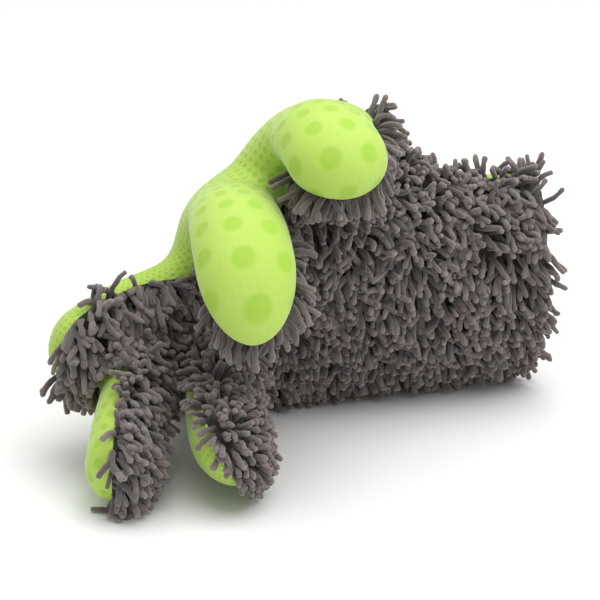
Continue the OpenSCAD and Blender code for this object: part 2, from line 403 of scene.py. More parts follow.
def filled(points, quads):
    """The form's points after a cloth under pressure has been stepped for some frames, and how far
    they wanted to move on average."""
    thin = np.where((points[:, 0] > CAP_X - 0.003)[:, None], points, settle(points, -START_THIN))
    piece = make_mesh("filling", thin, quads)
    pin = piece.vertex_groups.new(name="cuff")
    pin.add(np.flatnonzero(points[:, 0] > CAP_X - PIN_BACK).tolist(), 1.0, "REPLACE")
    cloth = piece.modifiers.new("Cloth", "CLOTH")
    cloth.settings.quality = 6
    cloth.settings.mass = 0.3
    cloth.settings.tension_stiffness = cloth.settings.compression_stiffness = 12
    cloth.settings.bending_stiffness = 0.6
    cloth.settings.use_pressure = True
    cloth.settings.uniform_pressure_force = PRESSURE
    cloth.settings.effector_weights.gravity = 0
    cloth.settings.vertex_group_mass = pin.name
    cloth.collision_settings.use_collision = False
    cloth.collision_settings.use_self_collision = False
    scene = bpy.context.scene
    for step in range(1, FRAMES + 1):
        scene.frame_set(step)
    shaped = piece.evaluated_get(bpy.context.evaluated_depsgraph_get())
    grown = points_of(shaped)
    scene.frame_set(1)
    bpy.data.objects.remove(piece)
    move = grown - points
    size = np.linalg.norm(move, axis=1, keepdims=True)
    return points + move * np.minimum(1, MOVE_CAP / np.maximum(size, 1e-9)), float(size.mean())


filled_points, moved = filled(net_points, net_quads)
print("cloth moved by", round(moved * 1000, 2), "mm on average")

# %% Subdivide once
skin = make_mesh("skin", filled_points, net_quads)
smoother = skin.modifiers.new("Subdivision", "SUBSURF")
smoother.levels = smoother.render_levels = 1
smoothed = skin.evaluated_get(bpy.context.evaluated_depsgraph_get())
smooth_mesh = bpy.data.meshes.new_from_object(smoothed)
skin.modifiers.clear()
skin.data = smooth_mesh
skin_points = points_of(skin)
skin_quads = faces_of(skin, 4)
normals = np.empty(len(skin_points) * 3)
skin.data.vertex_normals.foreach_get("vector", normals)
skin_normals = normals.reshape(-1, 3)
bpy.data.objects.remove(skin)
print("skin:", len(skin_points), "points")

# %% [markdown]
# ## Cutting the cloth
# On the real mitt a panel ends at its seam, so the colour changes on a line and not over a fade.
# A material mask would blur there, so the mesh itself is cut: each triangle that crosses a line
# is split on it. The same cut parts each finger from the hand, on a flat plane across its root,
# a little way out along the finger's arc.

# %% Fields over the skin
BEND_START = {"thumb": 0.012, "index": 0.014, "middle": 0.004, "ring": 0.006, "little": 0.004}
BEND_END = {"thumb": 0.040, "index": 0.048, "middle": 0.034, "ring": 0.036, "little": 0.032}
CLAIM = 0.004  # a finger's say over the hand where they melt


def bend_line(name):
    """Two points along a finger's arc: the finger's cut plane goes through the first, square to the line
    to the second.
    """
    return finger_point(name, BEND_START[name]), finger_point(name, BEND_END[name])


def finger_claim(points, name):
    """Above zero where the cloth belongs to a finger: past its start plane, and nearest to it."""
    start, end = bend_line(name)
    past = (points - start) @ unit(end - start)
    own = finger_part(points, name)[0]
    body = np.minimum(hand_part(points)[0], ridge_part(points)[0]) + CLAIM
    others = [finger_part(points, other)[0] for other in FINGERS if other != name]
    rest = np.array(others).min(axis=0)
    return np.minimum(np.minimum(past, body - own), rest - own)


def cut_along(table, faces, column):
    """Triangles split where one column of the point table crosses zero, with every column carried
    to the new points."""
    value = table[:, column]
    above = (value > 0)[faces]
    crossed = (above.sum(axis=1) % 3) != 0
    rows = np.flatnonzero(crossed)
    one_above = above[rows].sum(axis=1) == 1
    lone = np.where(one_above, above[rows].argmax(axis=1), above[rows].argmin(axis=1))
    turned = faces[rows[:, None], (lone[:, None] + np.arange(3)) % 3]
    pairs = np.concatenate([turned[:, [0, 1]], turned[:, [0, 2]]])
    edges, place = np.unique(np.sort(pairs, axis=1), axis=0, return_inverse=True)
    place = place.reshape(-1)
    a, b = value[edges[:, 0]], value[edges[:, 1]]
    share = np.clip(a / (a - b), 0.02, 0.98)[:, None]
    added = table[edges[:, 0]] * (1 - share) + table[edges[:, 1]] * share
    added[:, column] = 0
    ab, ac = np.split(place + len(table), 2)
    one, two, three = turned.T
    new = np.concatenate([np.stack([one, ab, ac], 1), np.stack([ab, two, three], 1),
                          np.stack([ab, three, ac], 1)])
    return np.concatenate([table, added]), np.concatenate([faces[~crossed], new])


PANEL_END = MOUTH_X - 0.004  # the panels end inside the binding's fold
SIDE, PANEL, CLAIMS = 6, 7, 8  # columns of a cut table, after place and normal


def cut_cloth(points, normals, quads, end):
    """A skin cut on the seam, at a place along X, and at each finger: its table of columns, its
    triangles, whether each is on the back, and the number of its finger, or -1 for the hand."""
    table = np.column_stack([points, normals, form(points)[1], end - points[:, 0],
                             *[finger_claim(points, name) for name in FINGERS]])
    faces = np.concatenate([quads[:, [0, 1, 2]], quads[:, [0, 2, 3]]])
    for column in range(SIDE, table.shape[1]):
        table, faces = cut_along(table, faces, column)
    middle = table[faces].mean(axis=1)
    faces, middle = faces[middle[:, PANEL] > 0], middle[middle[:, PANEL] > 0]
    owner = np.where(middle[:, CLAIMS:].max(axis=1) > 0, middle[:, CLAIMS:].argmax(axis=1), -1)
    return table, faces, middle[:, SIDE] > 0, owner


table, triangles, on_back, owner = cut_cloth(skin_points, skin_normals, skin_quads, PANEL_END)
print("back:", on_back.sum(), "triangles, palm:", (~on_back).sum())

# %% [markdown]
# ## The pattern's own flat measure
# The air mesh is a knitted cloth with rows of small holes, and on the real mitt the rows follow
# the cloth over every finger. A pattern projected through the air would smear where the cloth
# turns away. Unwrapping the whole back as one sheet gives it back its flat cut shape, and the pattern is
# then drawn in metres of flat cloth, without a break from the hand to the fingertips.

# %% Unwrap the back
def flat_places(points, faces):
    """Each point's place on the unwrapped sheet, in metres, turned so that U runs along X."""
    sheet = make_mesh("flat", points, faces)
    bpy.context.view_layer.objects.active = sheet
    sheet.select_set(True)
    bpy.ops.object.mode_set(mode="EDIT")
    bpy.ops.mesh.select_all(action="SELECT")
    bpy.ops.uv.unwrap(method="ANGLE_BASED", margin=0.0)
    bpy.ops.object.mode_set(mode="OBJECT")
    flat = np.empty(len(sheet.data.loops) * 2)
    sheet.data.uv_layers.active.data.foreach_get("uv", flat)
    place = np.zeros((len(points), 2))
    place[faces.ravel()] = flat.reshape(-1, 2)
    bpy.data.objects.remove(sheet)
    a, b = faces[:, 0], faces[:, 1]
    real = np.linalg.norm(points[b] - points[a], axis=1)
    drawn = np.linalg.norm(place[b] - place[a], axis=1)
    place *= np.median(real / np.maximum(drawn, 1e-9))
    rise_u, rise_v = np.polyfit(points[:, 0], place, 1)[0]
    turn = math.atan2(rise_v, rise_u)
    c, s = math.cos(turn), math.sin(turn)
    return place @ np.array([[c, -s], [s, c]])


def used_points(faces):
    """The numbers of the points that faces use, and the faces renumbered to match."""
    used, place = np.unique(faces, return_inverse=True)
    return used, place.reshape(faces.shape)


back_used, back_faces = used_points(triangles[on_back])
flat = np.zeros((len(table), 2))
flat[back_used] = flat_places(table[back_used, :3], back_faces)
print("flat back, in mm:", (np.ptp(flat[back_used], axis=0) * 1000).round())


# %% Cloth walls from cut pieces
def border_edges(faces):
    """The edges that only one face uses, in that face's direction."""
    edges = np.concatenate([faces[:, [0, 1]], faces[:, [1, 2]], faces[:, [2, 0]]])
    _, first, count = np.unique(np.sort(edges, axis=1), axis=0,
                                return_index=True, return_counts=True)
    return edges[first[count == 1]]


def cloth_wall(name, table, faces, thick, flat=None):
    """A closed wall of cloth over triangles of a cut table: an outer face, the same face moved in
    along the normals by the cloth's thickness and turned over, and a rim between them."""
    used, faces = used_points(faces)
    outer, normal = table[used, :3], unit(table[used, 3:6])
    count = len(used)
    a, b = border_edges(faces).T
    rim = np.concatenate([np.stack([b, a, a + count], 1), np.stack([b, a + count, b + count], 1)])
    points = np.concatenate([outer, outer - normal * thick])
    piece = make_mesh(name, points, np.concatenate([faces, faces[:, ::-1] + count, rim]))
    corners = faces_of(piece, 3).ravel()
    if flat is not None:
        uv = piece.data.uv_layers.new(name="flat")
        uv.data.foreach_set("uv", np.concatenate([flat[used], flat[used]])[corners].ravel())
    own = np.empty(len(points) * 3)
    piece.data.vertex_normals.foreach_get("vector", own)
    corner_normal = np.concatenate([normal, -normal])[corners]
    on_rim = np.arange(len(corners)) >= 6 * len(faces)
    corner_normal[on_rim] = own.reshape(-1, 3)[corners][on_rim]
    piece.data.normals_split_custom_set(corner_normal.tolist())
    return piece


MESH_THICK, BACKING_THICK = 0.0026, 0.0012
backs, palms = {}, {}
for number, name in enumerate(("hand", *FINGERS), -1):
    mine = owner == number
    back_part, palm_part = triangles[mine & on_back], triangles[mine & ~on_back]
    backs[name] = cloth_wall(f"{name}_back_cloth", table, back_part, MESH_THICK, flat)
    palms[name] = cloth_wall(f"{name}_palm_cloth", table, palm_part, BACKING_THICK)
print("cloth walls:", len(backs) + len(palms))

# %% [markdown]
# ## Chenille noodles
# The palm is tufted with fat microfibre noodles, about 3 mm thick and 10 to 15 mm long.
# Hair curves would draw them, but they would not be part of the exported mesh. Here each noodle
# is a short tube of its own: it starts square to the cloth, leans with its neighbours, droops
# under its weight, and is pushed out wherever it would go into the cloth or the floor.

# %% Roots of the noodles
SPACING = 0.0034  # one root per cube of this size
NOODLE_STEPS = 6
NOODLE_SIDES = 6
NOODLE_RADIUS = 0.0014
CLEAR = 0.0012  # a noodle's lowest clearance over the form


def soft_noise(points, scale, seed, waves=9):
    """Smooth noise with three components: a sum of sine waves with seeded directions, divided by
    the square root of their number."""
    rng = np.random.default_rng(seed)
    total = np.zeros_like(points)
    for _ in range(waves):
        wave = unit(rng.normal(size=3)) * rng.uniform(0.7, 1.6) * 2 * math.pi / scale
        phase = rng.uniform(0, 2 * math.pi, 3)
        total += np.sin((points @ wave)[:, None] + phase)
    return total / math.sqrt(waves)


def scattered(chosen, spacing, seed):
    """Even random places on some triangles of the skin: many seeded picks by area, thinned to the
    first in each cube of a grid. Each row has a place and the normal there."""
    rng = np.random.default_rng(seed)
    corners = table[triangles[chosen]]
    a, b, c = corners[:, 0, :3], corners[:, 1, :3], corners[:, 2, :3]
    area = 0.5 * np.linalg.norm(np.cross(b - a, c - a), axis=1)
    picks = rng.choice(len(area), size=int(area.sum() / spacing ** 2 * 8), p=area / area.sum())
    u, v = rng.random((2, len(picks), 1))
    u, v = np.where(u + v > 1, 1 - u, u), np.where(u + v > 1, 1 - v, v)
    first, second, third = corners[picks][:, :, :6].swapaxes(0, 1)
    rows = first * (1 - u - v) + second * u + third * v
    cube = np.floor(rows[:, :3] / spacing).astype(int)
    _, kept = np.unique(cube, axis=0, return_index=True)
    return rows[np.sort(kept)]


def noodle_paths(rows, length, stand, droop, seed, pull):
    """Paths of noodles from rows of root and normal. Each starts along the normal mixed with a
    lean that its neighbours share and a little of its own, and every step turns it towards the
    floor. A point too near the form is moved out along the form's slope."""
    rng = np.random.default_rng(seed)
    root, normal = rows[:, :3], unit(rows[:, 3:6])
    count = len(root)
    lean = soft_noise(root, 0.035, seed) * 0.6 + rng.normal(size=(count, 3)) * 0.36 + pull(root)
    way = unit(normal * stand + lean)
    way = unit(way - normal * np.minimum((way * normal).sum(axis=1, keepdims=True) - 0.25, 0))
    step = (length * rng.uniform(0.78, 1.16, count) / NOODLE_STEPS)[:, None]
    curl = rng.normal(size=(count, 3)) * 0.10
    weight = droop * rng.uniform(0.6, 1.4, (count, 1))
    path = [root - normal * 0.001]
    for k in range(NOODLE_STEPS):
        way = unit(way + curl + rng.normal(size=(count, 3)) * 0.12 + weight * np.array([0, 0, -1]))
        point = path[-1] + way * step
        if k:
            for _ in range(2):
                gap = form(point)[0] - (CLEAR + NOODLE_RADIUS * min(k, 2) * 0.5)
                low = np.flatnonzero(gap < 0)
                if len(low):
                    point[low] -= slope(point[low]) * gap[low][:, None]
            point[:, 2] = np.maximum(point[:, 2], NOODLE_RADIUS + 0.0003)
            way = unit(point - path[-1])
            point = path[-1] + way * step
            point[:, 2] = np.maximum(point[:, 2], NOODLE_RADIUS + 0.0003)
        path.append(point)
    return np.stack(path, axis=1)


def tube_faces(count, rings, sides):
    """The faces of some tubes whose points lie tube by tube and ring by ring: quads round each
    pair of rings, and a cap on each end."""
    start = (np.arange(count) * rings * sides)[:, None, None]
    ring = (np.arange(rings - 1) * sides)[None, :, None]
    one, two = np.arange(sides), (np.arange(sides) + 1) % sides
    quads = np.stack([start + ring + one, start + ring + two, start + ring + sides + two,
                      start + ring + sides + one], axis=-1).reshape(-1, 4)
    caps = np.concatenate([start[:, 0] + one[::-1], start[:, 0] + (rings - 1) * sides + one])
    return quads.tolist() + caps.tolist()


def noodle_mesh(name, path, radius, seed):
    """Round tubes along many paths at once, with rounded tips. Each ring is a circle across the
    path, carried from ring to ring without twist, and its radius varies a little for the pile."""
    rng = np.random.default_rng(seed)
    count, rings, sides = len(path), path.shape[1] + 2, NOODLE_SIDES
    way = unit(np.gradient(path, axis=1))
    tip = path[:, -1] + way[:, -1] * radius * 0.55
    end = path[:, -1] + way[:, -1] * radius * 0.9
    path = np.concatenate([path, tip[:, None], end[:, None]], axis=1)
    way = np.concatenate([way, way[:, -1:], way[:, -1:]], axis=1)
    across = unit(np.cross(way[:, 0], rng.normal(size=(count, 3))))
    turn = np.arange(sides) / sides * 2 * math.pi
    share = np.array([0.9] + [1.0] * (rings - 3) + [0.8, 0.35])
    points = []
    for k in range(rings):
        across = unit(across - way[:, k] * (across * way[:, k]).sum(axis=1, keepdims=True))
        other = np.cross(way[:, k], across)
        ring_size = rng.uniform(0.80, 1.20, (count, 1, 1))
        size = radius * share[k] * ring_size * rng.uniform(0.9, 1.1, (count, sides, 1))
        circle = across[:, None] * np.cos(turn)[:, None] + other[:, None] * np.sin(turn)[:, None]
        points.append(path[:, k, None] + circle * size)
    points = np.stack(points, axis=1).reshape(-1, 3)
    piece = make_mesh(name, points, tube_faces(count, rings, sides))
    tone = piece.data.attributes.new("tone", "FLOAT", "POINT")
    tone.data.foreach_set("value", np.repeat(rng.random(count), rings * sides))
    # How far along its noodle a point lies; the chenille uses it for painted shade at the roots
    along = piece.data.attributes.new("along", "FLOAT", "POINT")
    along.data.foreach_set("value", np.tile(np.repeat(np.linspace(0, 1, rings), sides), count))
    return piece


# How long the noodles of each body are, how straight up they start, and how they droop
NOODLE_LIE = {
    "hand": (0.0150, 0.85, 0.16), "thumb": (0.0135, 0.8, 0.2), "index": (0.0135, 0.8, 0.22),
    "middle": (0.0150, 0.8, 0.30), "ring": (0.0130, 0.7, 0.26), "little": (0.0100, 0.7, 0.22),
}


def cuff_flare(root):
    """Leans noodles near the mouth of the cuff outwards along X."""
    return np.array([1.0, 0, 0]) * np.clip((root[:, :1] - (PANEL_END - 0.022)) / 0.022, 0, 1) * 0.9


noodles = {}
for number, name in enumerate(("hand", *FINGERS), -1):
    rows = scattered((owner == number) & ~on_back, SPACING, seed=11 + number)
    length, stand, droop = NOODLE_LIE[name]
    paths = noodle_paths(rows, length, stand, droop, 31 + number, cuff_flare)
    if name == "hand":
        zones = np.digitize(rows[:, 0], np.quantile(rows[:, 0], [0.34, 0.67]))
        for zone, part in enumerate(("knuckle", "palm", "cuff")):
            noodles[f"{part}_noodles"] = ("hand", paths[zones == zone])
    else:
        noodles[f"{name}_noodles"] = (name, paths)
print("noodles:", {name: len(paths) for name, (_, paths) in noodles.items()})
noodle_pieces = {name: noodle_mesh(name, paths, NOODLE_RADIUS, seed=51 + k)
                 for k, (name, (_, paths)) in enumerate(noodles.items())}

# %% [markdown]
# ## The lining
# Inside, a thin knit lining follows the shell and forms one stall for each finger. The same
# distance gives it for nothing: its surface is the form a few millimetres further in.

# %% Lining
LINING_DEEP, LINING_THICK = 0.0045, 0.0011
lining_points, lining_quads = surface_net(
    NET_LOW, NET_HIGH, GRID * 1.4,
    lambda points: np.maximum(form(points)[0] + LINING_DEEP, points[:, 0] - CAP_X))
lining_points = np.where((lining_points[:, 0] > CAP_X - 0.001)[:, None], lining_points,
                         settle(edge_means(lining_points, lining_quads, 2), -LINING_DEEP))
lining_table, lining_faces, _, lining_owner = cut_cloth(
    lining_points, slope(lining_points), lining_quads, MOUTH_X - 0.0045)
linings = {}
for number, name in enumerate(("hand", *FINGERS), -1):
    linings[name] = cloth_wall(f"{name}_knit_lining", lining_table,
                               lining_faces[lining_owner == number], LINING_THICK)
print("lining pieces:", len(linings))

# %% [markdown]
# ## Binding, elastic and label
# The mouth of the cuff is finished with a folded tape that holds a flat elastic. The elastic draws
# the tape in, so it puckers in small even waves. Each band is one closed profile carried round the
# mouth's oval.

# %% Bands round the mouth
BAND_STEPS = 240
PUCKERS = 46


def mouth_place(x, grow, turn):
    """Points on the oval of the cuff at a place along X, grown outwards, at angles round it."""
    row = outline_at(np.atleast_1d(x - FOREARM[0]))[0]
    wide = (row[2] - row[1]) / 2 + grow
    thick = np.where(np.sin(turn) > 0, HAND_BACK, HAND_PALM) * row[3] + grow
    centre = FOREARM + UP * (row[1] + row[2]) / 2
    centre = np.array([x, centre[1], centre[2]])
    return centre + UP * (wide * np.cos(turn))[:, None] + OUT * (thick * np.sin(turn))[:, None]


def mouth_band(name, section, pucker):
    """A closed profile of (place along X, growth) carried round the oval of the mouth. The
    profile's growth swells and sinks in even waves."""
    turn = np.arange(BAND_STEPS) / BAND_STEPS * 2 * math.pi
    wave = pucker * np.sin(turn * PUCKERS)
    rings = np.stack([mouth_place(x, grow + wave, turn) for x, grow in section], axis=1)
    span = len(section)
    j, k = np.meshgrid(np.arange(BAND_STEPS), np.arange(span), indexing="ij")
    m, q = (j + 1) % BAND_STEPS, (k + 1) % span
    quads = np.stack([j * span + k, j * span + q, m * span + q, m * span + k], axis=-1)
    return make_mesh(name, rings.reshape(-1, 3), quads.reshape(-1, 4))


BIND_WIDE, TAPE_THICK = 0.0115, 0.0013
BIND_IN = LINING_DEEP + LINING_THICK + 0.0008
band_start = MOUTH_X - BIND_WIDE
TAPE_EDGE = MOUTH_X - 0.0002
binding = mouth_band("cuff_binding_tape", [
    (band_start, TAPE_THICK), (band_start - 0.0003, TAPE_THICK / 2), (band_start, 0.0002),
    (TAPE_EDGE - 0.0030, 0.0002), (TAPE_EDGE - 0.0018, -0.0006),
    (TAPE_EDGE - 0.0018, 0.0004 - BIND_IN), (TAPE_EDGE - 0.0030, -BIND_IN),
    (band_start, -BIND_IN), (band_start - 0.0003, -BIND_IN - TAPE_THICK / 2),
    (band_start, -BIND_IN - TAPE_THICK), (TAPE_EDGE - 0.0030, -BIND_IN - TAPE_THICK),
    (TAPE_EDGE - 0.0010, -BIND_IN - TAPE_THICK + 0.0006), (TAPE_EDGE, -BIND_IN / 2),
    (TAPE_EDGE - 0.0010, TAPE_THICK - 0.0006), (TAPE_EDGE - 0.0030, TAPE_THICK)][::-1], 0.0004)
elastic_start, ELASTIC_WIDE = band_start + 0.0012, 0.0075
elastic = mouth_band("cuff_flat_elastic", [
    (elastic_start, -0.0030), (elastic_start + ELASTIC_WIDE, -0.0030),
    (elastic_start + ELASTIC_WIDE, -0.0040), (elastic_start, -0.0040)], 0.0003)
print("bands:", len(binding.data.polygons), "and", len(elastic.data.polygons), "faces")


# %% Blank label and stitches
def label_sheet(long, wide, thick):
    """A thin blank label held in the binding's fold, whose free end droops as a parabola: a closed
    box of two grids, one on each side."""
    along, across = np.meshgrid(np.linspace(0, 1, 24), np.linspace(-0.5, 0.5, 10), indexing="ij")
    grow = -BIND_IN - TAPE_THICK - 0.0008
    at = mouth_place(band_start, grow, np.array([math.pi / 2]))[0]
    place = at + np.array([-1, 0, 0]) * (long * along)[..., None] + UP * (wide * across)[..., None]
    droop = 0.004 * along ** 2 + 0.0007 * np.sin(along * 7 + across * 3) * along
    place = place - OUT * droop[..., None]
    top, low = place.reshape(-1, 3), (place - OUT * thick).reshape(-1, 3)
    number = np.arange(along.size).reshape(along.shape)
    quads = np.stack([number[:-1, :-1], number[:-1, 1:], number[1:, 1:], number[1:, :-1]], -1)
    quads = quads.reshape(-1, 4)
    edge = np.concatenate([number[:, 0], number[-1, 1:], number[-2::-1, -1], number[0, -2:0:-1]])
    following = np.roll(edge, -1)
    rim = np.stack([edge, following, following + along.size, edge + along.size], axis=1)
    return make_mesh("blank_care_label", np.concatenate([top, low]),
                     np.concatenate([quads, quads[:, ::-1] + along.size, rim]))


label = label_sheet(0.026, 0.014, 0.0004)


STITCHES, STITCH_SIDES = 112, 5
# Where a stitch's rings lie along it, and their size as a share of its radius
STITCH_RINGS = ((-0.5, 0.35), (-0.36, 1), (0.36, 1), (0.5, 0.35))


def stitch_ring(name, x, count, length, radius):
    """Short stitches round the binding: each is a low rod with bevelled ends, five-sided, and they
    lie end to end with small gaps on the tape's outer face."""
    turn = (np.arange(count) + 0.5) / count * 2 * math.pi
    ripple = 0.0004 * np.sin(turn * PUCKERS)
    centre = mouth_place(x, TAPE_THICK + ripple, turn)
    ahead = unit(mouth_place(x, TAPE_THICK, turn + 0.02) - mouth_place(x, TAPE_THICK, turn - 0.02))
    out = unit(np.cross(ahead, [1, 0, 0]))
    out = out * np.sign((out * (centre - centre.mean(axis=0))).sum(axis=1, keepdims=True))
    side = np.cross(ahead, out)
    spin = np.arange(STITCH_SIDES) / STITCH_SIDES * 2 * math.pi
    rings = []
    for share, size in STITCH_RINGS:
        circle = side[:, None] * np.cos(spin)[:, None] + out[:, None] * np.sin(spin)[:, None]
        rings.append((centre + ahead * share * length)[:, None] + circle * radius * size)
    points = np.stack(rings, axis=1).reshape(-1, 3)
    return make_mesh(name, points, tube_faces(count, len(rings), STITCH_SIDES))


stitches = stitch_ring("binding_stitches", band_start + 0.0016, STITCHES, 0.0022, 0.00035)
print("label and", STITCHES, "stitches")

# %% [markdown]
# ## Riding on the hand
# The hand's pieces ride on the hand. Every other piece, a finger's too, is baked where it is made,
# and the frame's part that each cloth replaces is hidden.

# %% Tie the hand's pieces to the hand, bake the rest in place, and hide the frame's parts
NODE_OF = {"back": "{}_mesh", "palm": "{}_chenille", "lining": "{}_lining"}


def flat_cut(piece):
    """The cut size of a cloth piece: its length along its longest side, a width that gives its
    area with rounded corners, and that area, measured on one face."""
    points, faces = points_of(piece), faces_of(piece, 3)
    a, b, c = points[faces[:, 0]], points[faces[:, 1]], points[faces[:, 2]]
    area = 0.25 * np.linalg.norm(np.cross(b - a, c - a), axis=1).sum()
    length = float(np.ptp(points, axis=0).max())
    return (area / (0.85 * length), length), float(area)


def tie(piece, name):
    """A hand piece follows the hand's ride; any other piece is baked where it is."""
    if name == "hand":
        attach(piece, "hand")
    else:
        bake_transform(piece)


for name in ("hand", *FINGERS):
    for kind, piece, slot in (("back", backs[name], "air_mesh"), ("palm", palms[name], "chenille"),
                              ("lining", linings[name], "lining")):
        tie(piece, name)
        if name == "hand":
            node = {"back": "back_mesh", "palm": "palm_chenille", "lining": "hand_lining"}[kind]
        else:
            node = NODE_OF[kind].format(name)
        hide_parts(node)
        size, area = flat_cut(piece)
for name, piece in noodle_pieces.items():
    tie(piece, noodles[name][0])
for piece, node, slot in ((binding, "cuff_binding", "binding"),
                          (elastic, "cuff_elastic", "elastic"),
                          (label, "care_label", "label"), (stitches, None, "binding")):
    tie(piece, "hand")
    if node:
        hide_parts(node)
cloths = len(backs) + len(palms) + len(linings)
print("pieces tied:", cloths, "cloths,", len(noodle_pieces), "sets of noodles and 4 at the mouth")

# %% [markdown]
# ## Patterns shared by the cloths
# Each pattern is worked out once as a shader node group with named inputs, and every material
# that needs it gives it its own values. Groups put out only masks, colours and heights. The
# shader itself stays in the material.

# %% Small helpers for node graphs
def new_group(name, inputs, outputs):
    """A shader node group with float or vector inputs, their start values, and outputs."""
    group = bpy.data.node_groups.new(name, "ShaderNodeTree")
    for title, kind, value in inputs:
        socket = group.interface.new_socket(name=title, in_out="INPUT", socket_type=kind)
        if value is not None:
            socket.default_value = value
    for title, kind in outputs:
        group.interface.new_socket(name=title, in_out="OUTPUT", socket_type=kind)
    return group, group.nodes.new("NodeGroupInput"), group.nodes.new("NodeGroupOutput")


def math_node(tree, kind, *values):
    """A Math node whose inputs are linked or set to numbers; gives its output socket."""
    node = tree.nodes.new("ShaderNodeMath")
    node.operation = kind
    for socket, value in zip(node.inputs, values):
        if isinstance(value, (int, float)):
            socket.default_value = value
        else:
            tree.links.new(value, socket)
    return node.outputs[0]


def noise_node(tree, place, scale, detail=3.0, rough=0.5):
    """A noise texture at a place; gives its value socket."""
    node = tree.nodes.new("ShaderNodeTexNoise")
    node.inputs["Scale"].default_value = scale
    node.inputs["Detail"].default_value = detail
    node.inputs["Roughness"].default_value = rough
    tree.links.new(place, node.inputs["Vector"])
    return node.outputs["Fac"]


def blend_colours(tree, share, one, two):
    """A colour between two, by a share; each is a socket or a colour."""
    node = tree.nodes.new("ShaderNodeMix")
    node.data_type = "RGBA"
    tree.links.new(share, node.inputs["Factor"])
    for socket, value in ((node.inputs["A"], one), (node.inputs["B"], two)):
        if isinstance(value, tuple):
            socket.default_value = (*value, 1)
        else:
            tree.links.new(value, socket)
    return node.outputs["Result"]


# %% Air-mesh pattern
# Rows of oval holes, each row shifted half a hole: the place in a cell gives an oval distance, and
# the hole is where that is small. A finer wave draws the knitted yarns between the holes.
HOLE_WIDE, HOLE_HIGH = 0.29, 0.38  # half sizes of a hole, as shares of its cell
air_group, g_in, g_out = new_group(
    "Air mesh holes",
    [("Place", "NodeSocketVector", None), ("Across", "NodeSocketFloat", 0.0038),
     ("Row", "NodeSocketFloat", 0.0026)],
    [("Hole", "NodeSocketFloat"), ("Height", "NodeSocketFloat")])
split = air_group.nodes.new("ShaderNodeSeparateXYZ")
air_group.links.new(g_in.outputs["Place"], split.inputs[0])
air = partial(math_node, air_group)
row = air("DIVIDE", split.outputs["Y"], g_in.outputs["Row"])
shift = air("MULTIPLY", air("PINGPONG", air("FLOOR", row), 1.0), 0.5)
column = air("ADD", air("DIVIDE", split.outputs["X"], g_in.outputs["Across"]), shift)
cell_u = air("SUBTRACT", air("FRACT", column), 0.5)
cell_v = air("SUBTRACT", air("FRACT", row), 0.5)
oval_u = air("POWER", air("DIVIDE", air("ABSOLUTE", cell_u), HOLE_WIDE), 2.0)
oval_v = air("POWER", air("DIVIDE", air("ABSOLUTE", cell_v), HOLE_HIGH), 2.0)
reach = air("SQRT", air("ADD", oval_u, oval_v))
edge = air_group.nodes.new("ShaderNodeMapRange")
edge.interpolation_type = "SMOOTHSTEP"
for socket, value in (("From Min", 1.05), ("From Max", 0.50), ("To Min", 0.0), ("To Max", 1.0)):
    edge.inputs[socket].default_value = value
air_group.links.new(reach, edge.inputs["Value"])
air_group.links.new(edge.outputs["Result"], g_out.inputs["Hole"])
yarn = air("SINE", air("MULTIPLY", split.outputs["X"], 9000.0))
yarn_b = air("SINE", air("MULTIPLY", split.outputs["Y"], 7600.0))
knit = air("MULTIPLY", air("MULTIPLY", yarn, yarn_b), 0.10)
solid = air("SUBTRACT", 1.0, edge.outputs["Result"])
air_group.links.new(air("ADD", solid, air("MULTIPLY", knit, solid)), g_out.inputs["Height"])

# %% Fuzz and weave patterns
fuzz_group, g_in, g_out = new_group(
    "Microfibre fuzz",
    [("Place", "NodeSocketVector", None), ("Fine", "NodeSocketFloat", 1500.0)],
    [("Height", "NodeSocketFloat"), ("Patch", "NodeSocketFloat")])
fine = fuzz_group.nodes.new("ShaderNodeTexNoise")
fine.inputs["Detail"].default_value = 2.0
fuzz_group.links.new(g_in.outputs["Place"], fine.inputs["Vector"])
fuzz_group.links.new(g_in.outputs["Fine"], fine.inputs["Scale"])
fuzz_group.links.new(fine.outputs["Fac"], g_out.inputs["Height"])
fuzz_group.links.new(noise_node(fuzz_group, g_in.outputs["Place"], 38.0), g_out.inputs["Patch"])

weave_group, g_in, g_out = new_group(
    "Plain weave",
    [("Place", "NodeSocketVector", None), ("Pitch", "NodeSocketFloat", 0.0008)],
    [("Height", "NodeSocketFloat")])
parts = weave_group.nodes.new("ShaderNodeSeparateXYZ")
weave_group.links.new(g_in.outputs["Place"], parts.inputs[0])
weave = partial(math_node, weave_group)
waves = []
for axis in ("X", "Z"):
    turn = weave("DIVIDE", parts.outputs[axis], g_in.outputs["Pitch"])
    waves.append(weave("SINE", weave("MULTIPLY", turn, 2 * math.pi)))
woven = weave("MULTIPLY", waves[0], waves[1])
weave_group.links.new(weave("ADD", weave("MULTIPLY", woven, 0.5), 0.5), g_out.inputs["Height"])
print("pattern groups:", [group.name for group in (air_group, fuzz_group, weave_group)])

# %% [markdown]
# ## Finishes
# The air mesh is a matt polyester knit that pales where it is seen along its fibres, which a
# sheen gives, and its holes are painted a darker green as shade. The chenille is soft and matt,
# warm grey, with painted shade that darkens each noodle towards its root, down between the noodles.
# The woven cloths have painted shade between their yarns.


# %% Materials
def start_material(name, rough, sheen, sheen_rough, sheen_tint):
    """A material with its Principled shader, bump and Texture Coordinate, and constants set."""
    material = bpy.data.materials.new(name)
    material.use_nodes = True
    tree = material.node_tree
    shader = tree.nodes["Principled BSDF"]
    shader.inputs["Roughness"].default_value = rough
    shader.inputs["Specular IOR Level"].default_value = 0.25
    shader.inputs["Sheen Weight"].default_value = sheen
    shader.inputs["Sheen Roughness"].default_value = sheen_rough
    shader.inputs["Sheen Tint"].default_value = (*sheen_tint, 1)
    bump = tree.nodes.new("ShaderNodeBump")
    tree.links.new(bump.outputs["Normal"], shader.inputs["Normal"])
    return material, tree, shader, bump, tree.nodes.new("ShaderNodeTexCoord")


